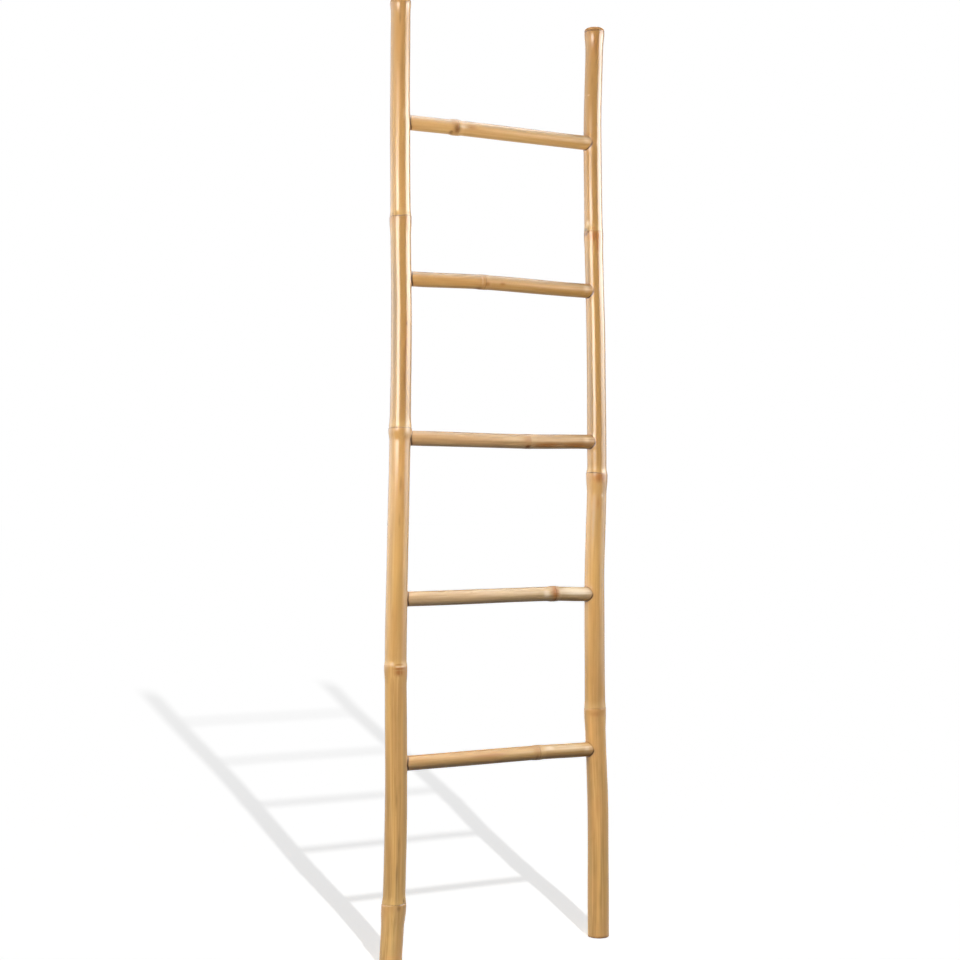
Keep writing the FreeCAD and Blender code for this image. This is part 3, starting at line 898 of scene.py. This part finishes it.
def culm_material(name, tones, roughness, lacquer, pale_above):
    """Lacquered bamboo skin, paler above a scar by the given share."""
    material, shader = new_material(name)
    place = shader.attribute("place", "Vector")
    broad = shader.noise(place, (70, 70, 3.0), detail=2.0, waver=0.6)
    streak = shader.noise(place, (300, 300, 6.0), detail=4.0, roughness=0.6, waver=0.7)
    fibre = shader.noise(place, (1900, 1900, 22), roughness=0.6)
    cloud = shader.noise(place, (18, 18, 11), roughness=0.6)
    speck = shader.noise(place, (420, 420, 160), detail=2.0)

    # Streaks, warm internodes, internodes darkened partly in tone and partly by painted shade, fibres and
    # specks
    skin = shader.mix(shader.span(broad, 0.34, 0.66), tones["dark"], tones["base"])
    skin = shader.mix(shader.span(streak, 0.45, 0.72, 0.0, 0.6), skin, tones["light"])
    skin = shader.mix(shader.span(streak, 0.5, 0.28, 0.0, 0.5), skin, tones["dark"])
    warmth = shader.times(shader.attribute("warmth"), shader.span(cloud, 0.35, 0.65, 0.3, 1.0))
    skin = shader.mix(warmth, skin, tones["warm"])
    skin = shader.mix(shader.attribute("shade"), skin, tones["dark"])
    skin = shader.mix(shader.span(fibre, 0.55, 0.8, 0.0, 0.22), skin, tones["brown"])
    skin = shader.mix(shader.span(speck, 0.7, 0.78, 0.0, 0.35), skin, tones["brown"])

    # Marks with ragged edges
    ragged = shader.span(streak, 0.25, 0.6, 0.45, 1.15)
    for kind in MARK_KINDS:
        shown = shader.times(shader.attribute(kind), ragged)
        skin = shader.mix(shader.span(shown, 0.05, 0.95), skin, tones[kind])

    # Nodes: a blush below the scar, paler skin above it and the dark scar itself
    waver = shader.times(shader.maths("SUBTRACT", speck, 0.5), 1.6 * MM)
    edge = shader.maths("ADD", shader.attribute("gap"), waver)
    below = shader.times(shader.span(edge, -20 * MM, -3 * MM), shader.span(edge, 1 * MM, 0.0))
    blush = shader.times(below, shader.span(broad, 0.35, 0.7, 0.05, 0.4))
    skin = shader.mix(blush, skin, tones["blush"])
    above = shader.times(shader.span(edge, 0.0, 1.5 * MM), shader.span(edge, 16 * MM, 3 * MM))
    skin = shader.mix(shader.times(above, pale_above), skin, tones["light"])
    line = shader.times(shader.span(edge, -1.2 * MM, 0.0), shader.span(edge, 1.2 * MM, 0.3 * MM))
    skin = shader.mix(shader.times(line, shader.attribute("scar")), skin, tones["scar"])

    # Joints: a worn rim and a dark seam with painted shade, darkest under the rung and at its left end
    mouth = shader.attribute("mouth")
    rim = shader.times(shader.span(mouth, 5 * MM, 1 * MM), shader.span(speck, 0.3, 0.6, 0.1, 0.45))
    skin = shader.mix(rim, skin, tones["raw"])
    under = shader.span(shader.attribute("under"), 0.0, 1.0, 0.3, 0.95)
    seam_and_shade = shader.times(under, shader.span(mouth, 1.6 * MM, 0.4 * MM))
    skin = shader.mix(seam_and_shade, skin, tones["scar"])

    surface = shader.nodes["Principled BSDF"]
    relief = shader.maths("ADD", shader.times(streak, 0.7), shader.times(fibre, 0.3))
    shader.put(surface.inputs["Base Color"], skin)
    shader.put(surface.inputs["Roughness"], shader.span(streak, 0.3, 0.7, roughness, roughness + 0.12))
    shader.put(surface.inputs["Normal"], shader.bump(relief, strength=0.07, distance=0.25 * MM))
    surface.inputs["Specular IOR Level"].default_value = 0.12
    surface.inputs["Coat Weight"].default_value = lacquer
    surface.inputs["Coat Roughness"].default_value = 0.1
    return material


def cut_material():
    """Bare bamboo where a rail is sawn or bored, with the pores of its wall."""
    material, shader = new_material("cut_bamboo")
    pores = shader.noise(shader.attribute("place", "Vector"), (1500, 1500, 60), detail=2.0)
    tone = shader.mix(shader.span(pores, 0.5, 0.7, 0.0, 0.7), RAIL_TONES["raw"], RAIL_TONES["brown"])
    surface = shader.nodes["Principled BSDF"]
    shader.put(surface.inputs["Base Color"], tone)
    shader.put(surface.inputs["Normal"], shader.bump(pores, strength=0.2, distance=0.2 * MM))
    surface.inputs["Roughness"].default_value = 0.7
    surface.inputs["Specular IOR Level"].default_value = 0.2
    return material


def pin_material():
    """Bare end grain of a split bamboo pin."""
    material, shader = new_material("pin_bamboo")
    place = shader.nodes.new("ShaderNodeTexCoord").outputs["Object"]
    grain = shader.noise(place, (1400, 200, 1400), roughness=0.6)
    tone = shader.mix(shader.span(grain, 0.35, 0.65), PIN_DARK, PIN_LIGHT)
    surface = shader.nodes["Principled BSDF"]
    shader.put(surface.inputs["Base Color"], tone)
    shader.put(surface.inputs["Roughness"], shader.span(grain, 0.3, 0.7, 0.5, 0.75))
    shader.put(surface.inputs["Normal"], shader.bump(grain, strength=0.4, distance=0.2 * MM))
    return material


# Camera, floor and light

def make_camera():
    camera = bpy.data.objects.new("camera", bpy.data.cameras.new("camera"))
    camera.data.sensor_width = CAMERA_SENSOR
    camera.data.lens = CAMERA_LENS
    camera.location = CAMERA_PLACE
    camera.rotation_euler = Euler((math.radians(CAMERA_TILT), 0.0, math.radians(CAMERA_TURN)))
    bpy.context.scene.collection.objects.link(camera)
    bpy.context.scene.camera = camera


def make_world():
    """White where it is seen, and only a little ambient light."""
    world = bpy.data.worlds.new("studio")
    bpy.context.scene.world = world
    world.use_nodes = True
    shader = Shader(world.node_tree)
    background = shader.nodes["Background"]
    background.inputs["Color"].default_value = (1.0, 1.0, 1.0, 1.0)
    strength = shader.span(shader.seen_directly(), 0.0, 1.0, AMBIENT, 1.0)
    shader.put(background.inputs["Strength"], strength)


def make_floor():
    """A wide floor, evenly white where it is seen, but for the key's shadow, and dim to other light."""
    corners = np.array([(-1, -1, 0), (1, -1, 0), (1, 1, 0), (-1, 1, 0)]) * FLOOR_HALF
    floor = make_mesh("floor", corners - np.array([0.0, 0.0, FLOOR_DROP]), [(0, 1, 2, 3)])
    material, shader = new_material("floor")
    shader.nodes.clear()
    place = shader.nodes.new("ShaderNodeNewGeometry").outputs["Position"]
    far = shader.add("ShaderNodeVectorMath", place, KEY_PLACE)
    far.operation = "DISTANCE"
    lit = shader.maths("DIVIDE", FLOOR_PALE * FLOOR_KEY_STRENGTH * KEY_PLACE[2], far.outputs["Value"])
    rest = shader.maths("SUBTRACT", 1.0 - FLOOR_PALE * AMBIENT, lit)
    white = shader.add("ShaderNodeBsdfDiffuse", (FLOOR_PALE, FLOOR_PALE, FLOOR_PALE, 1.0))
    light = shader.nodes.new("ShaderNodeEmission")
    shader.put(light.inputs["Strength"], rest)
    seen = shader.add("ShaderNodeAddShader", white.outputs[0], light.outputs[0])
    dull = shader.add("ShaderNodeBsdfDiffuse", (FLOOR_DIM, FLOOR_DIM, FLOOR_DIM, 1.0))
    choose = shader.add("ShaderNodeMixShader", shader.seen_directly(), dull.outputs[0], seen.outputs[0])
    shader.add("ShaderNodeOutputMaterial", choose.outputs[0])
    floor.data.materials.append(material)
    return floor


def floor_group(name, floor, state):
    """A group for lamps: only the floor where the state is INCLUDE, and all but the floor with EXCLUDE."""
    group = bpy.data.collections.new(name)
    group.objects.link(floor)
    group.collection_objects[0].light_linking.link_state = state
    return group


def aim(lamp, place, target):
    """Sets a lamp at a place so that it shines at a target."""
    lamp.location = place
    direction = np.array(target) - np.array(place)
    turn = math.atan2(direction[1], direction[0]) - math.pi / 2
    tilt = math.atan2(math.hypot(direction[0], direction[1]), -direction[2])
    lamp.rotation_euler = Euler((tilt, 0.0, turn))


def link_lamp(lamp, group):
    """Puts a lamp into the scene that lights a group and is neither seen nor reflected."""
    lamp.visible_camera = False
    lamp.visible_glossy = False
    lamp.light_linking.receiver_collection = group
    bpy.context.scene.collection.objects.link(lamp)


def make_fill(name, group, place, radiance):
    """A soft panel beside the ladder."""
    width, height = FILL_SIZE
    light = bpy.data.lights.new(name, "AREA")
    light.shape = "RECTANGLE"
    light.size = width
    light.size_y = height
    light.energy = radiance * math.pi * width * height
    panel = bpy.data.objects.new(name, light)
    aim(panel, place, FILL_TARGET)
    link_lamp(panel, group)


def make_bulb(name, group, place, strength, radius):
    """A small lamp that is as bright far off as it is near."""
    light = bpy.data.lights.new(name, "POINT")
    light.energy = 4 * math.pi ** 2 * strength
    light.shadow_soft_size = radius
    light.use_nodes = True
    shader = Shader(light.node_tree)
    even = shader.add("ShaderNodeLightFalloff", 1.0)
    shader.put(shader.nodes["Emission"].inputs["Strength"], even.outputs["Constant"])
    bulb = bpy.data.objects.new(name, light)
    bulb.location = place
    link_lamp(bulb, group)


def make_glow(name, rows):
    """A panel through rows of left end, right end and brightness, seen only as a reflection."""
    points = np.array([end for left, right, _ in rows for end in (left, right)])
    faces = [(2 * row, 2 * row + 1, 2 * row + 3, 2 * row + 2) for row in range(len(rows) - 1)]
    panel = make_mesh(name, points, faces)
    keep_values(panel.data, glow=np.repeat([brightness for _, _, brightness in rows], 2))
    material, shader = new_material(name)
    material.cycles.emission_sampling = "NONE"
    shader.nodes.clear()
    light = shader.nodes.new("ShaderNodeEmission")
    shader.put(light.inputs["Strength"], shader.attribute("glow"))
    shader.add("ShaderNodeOutputMaterial", light.outputs[0])
    panel.data.materials.append(material)
    panel.visible_camera = False
    panel.visible_diffuse = False
    panel.visible_transmission = False
    panel.visible_volume_scatter = False
    panel.visible_shadow = False


def make_reflector(name, place, width, levels):
    """An upright glowing panel that faces the ladder, with the brightness at each of its heights."""
    middle = np.array(place)
    half = np.array([-middle[1], middle[0]]) / np.linalg.norm(middle) * width / 2
    left, right = middle - half, middle + half
    make_glow(name, [((*left, height), (*right, height), level) for height, level in levels])


# The ladder

cut_wood = cut_material()
for rail in RAILS:
    skin = culm_material(f"{rail}_rail_bamboo", RAIL_TONES, roughness=0.34, lacquer=0.8, pale_above=0.18)
    make_rail(rail, skin, cut_wood)
for rung, own_tones in enumerate(RUNG_TONES):
    tones = {**RAIL_TONES, **own_tones}
    skin = culm_material(f"rung_{rung + 1}_bamboo", tones, roughness=0.42, lacquer=0.3, pale_above=0.1)
    make_rung(rung, skin)
pins = pin_material()
for name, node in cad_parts.items():
    if name.startswith("pin"):
        node.data.materials.clear()
        node.data.materials.append(pins)

# The studio

make_camera()
make_world()
floor = make_floor()
all_but_floor = floor_group("all_but_floor", floor, "EXCLUDE")
only_floor = floor_group("only_floor", floor, "INCLUDE")
for lift in FLOOR_KEY_LIFTS:
    place = KEY_PLACE + np.array([0.0, 0.0, lift])
    make_bulb("floor_key", only_floor, place, FLOOR_KEY_STRENGTH / len(FLOOR_KEY_LIFTS), FLOOR_KEY_RADIUS)
make_bulb("key", all_but_floor, KEY_PLACE, KEY_STRENGTH, KEY_RADIUS)
make_bulb("front", all_but_floor, FRONT_PLACE, FRONT_STRENGTH, FRONT_RADIUS)
for name, facts in FILLS.items():
    make_fill(name, all_but_floor, **facts)
for name, facts in REFLECTORS.items():
    make_reflector(name, **facts)
left, right = CEILING_ENDS
make_glow("ceiling", [
    ((left, rear, CEILING_HEIGHT), (right, rear, CEILING_HEIGHT), level) for rear, level in CEILING_LEVELS
])

bpy.context.scene.view_settings.view_transform = "Standard"
